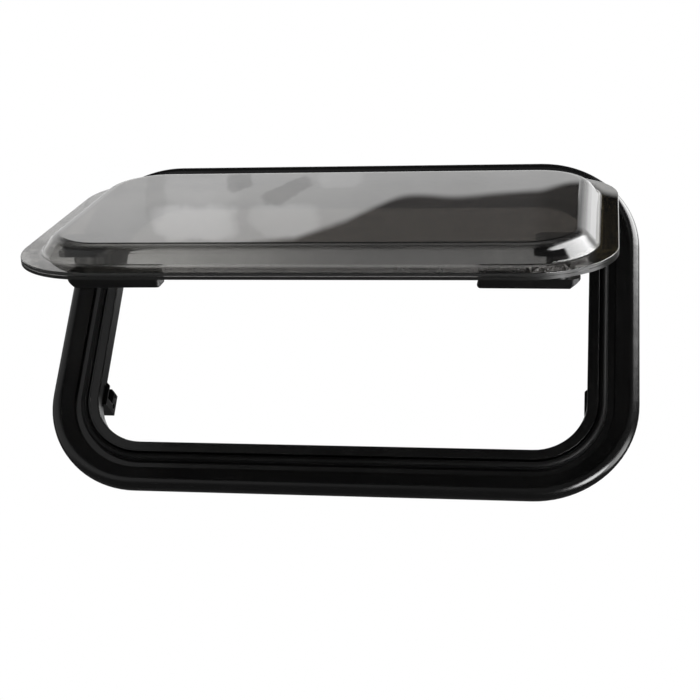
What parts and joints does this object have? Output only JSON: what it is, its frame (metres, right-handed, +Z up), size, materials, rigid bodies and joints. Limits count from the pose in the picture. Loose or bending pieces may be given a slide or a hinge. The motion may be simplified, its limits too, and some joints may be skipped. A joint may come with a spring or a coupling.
{
  "type": "caravan window",
  "caption": "Top-hung caravan window: black clamped frame, smoked domed double pane standing open on a long top hinge, and a quarter-turn latch at each side.",
  "frame": {"origin": "centre of the wall cut-out, in the plane of the wall's outer skin", "axes": "+X to the right as seen from outside, +Y through the wall into the room, +Z up"},
  "size_m": [0.546, 0.2549, 0.346],
  "materials": {
    "frame_plastic": "gloss moulded black",
    "seal_rubber": "satin rubber bead",
    "gasket_rubber": "matt foam rubber strip",
    "clamp_plastic": "fine-grained black",
    "steel_screws": "zinc plated",
    "steel_pins": "turned",
    "hinge_aluminium": "black anodised",
    "outer_acrylic": "smoked, polished",
    "inner_acrylic": "lightly smoked, polished",
    "bond_film": "clear glue film with fine bubbles",
    "vent_plastic": "moulded black",
    "latch_plastic": "satin moulded black",
    "cam_plastic": "satin moulded black",
    "grip_plastic": "satin moulded black, polished by hands at its edges"
  },
  "bodies": {
    "frame": {"outer_frame": "frame_plastic", "frame_seal": "seal_rubber", "wall_gasket": "gasket_rubber", "clamp_ring": "clamp_plastic", "clamp_screws": "steel_screws", "hinge_rail": "hinge_aluminium", "hinge_screws": "steel_screws", "hinge_stop_left": "latch_plastic", "hinge_stop_right": "latch_plastic", "catch_left": "latch_plastic", "catch_right": "latch_plastic", "catch_screws": "steel_screws"},
    "pane": {"pane_outer": "outer_acrylic", "pane_inner": "inner_acrylic", "pane_bond": "bond_film", "pane_hinge_strip": "hinge_aluminium", "vent_plugs": "vent_plastic", "latch_base_left": "latch_plastic", "latch_base_right": "latch_plastic", "latch_backing_left": "latch_plastic", "latch_backing_right": "latch_plastic", "latch_base_screws": "steel_screws", "latch_spindle_left": "steel_pins", "latch_spindle_right": "steel_pins", "latch_pivot_screws": "steel_screws"},
    "left_latch": {"latch_cam_left": "cam_plastic", "latch_handle_left": "grip_plastic"},
    "right_latch": {"latch_cam_right": "cam_plastic", "latch_handle_right": "grip_plastic"}
  },
  "joints": [
    {"name": "pane_hinge", "type": "hinge", "parent": "frame", "child": "pane", "pos_m": [0, -0.008, 0.1497], "axis": [-1, 0, 0], "range_deg": [-43, 32]},
    {"name": "left_latch_turn", "type": "hinge", "parent": "pane", "child": "left_latch", "pos_m": [-0.204, -0.1582, -0.01064], "axis": [0, -0.7314, 0.682], "range_deg": [0, 90]},
    {"name": "right_latch_turn", "type": "hinge", "parent": "pane", "child": "right_latch", "pos_m": [0.204, -0.1582, -0.01064], "axis": [0, 0.7314, -0.682], "range_deg": [0, 90]}
  ]
}
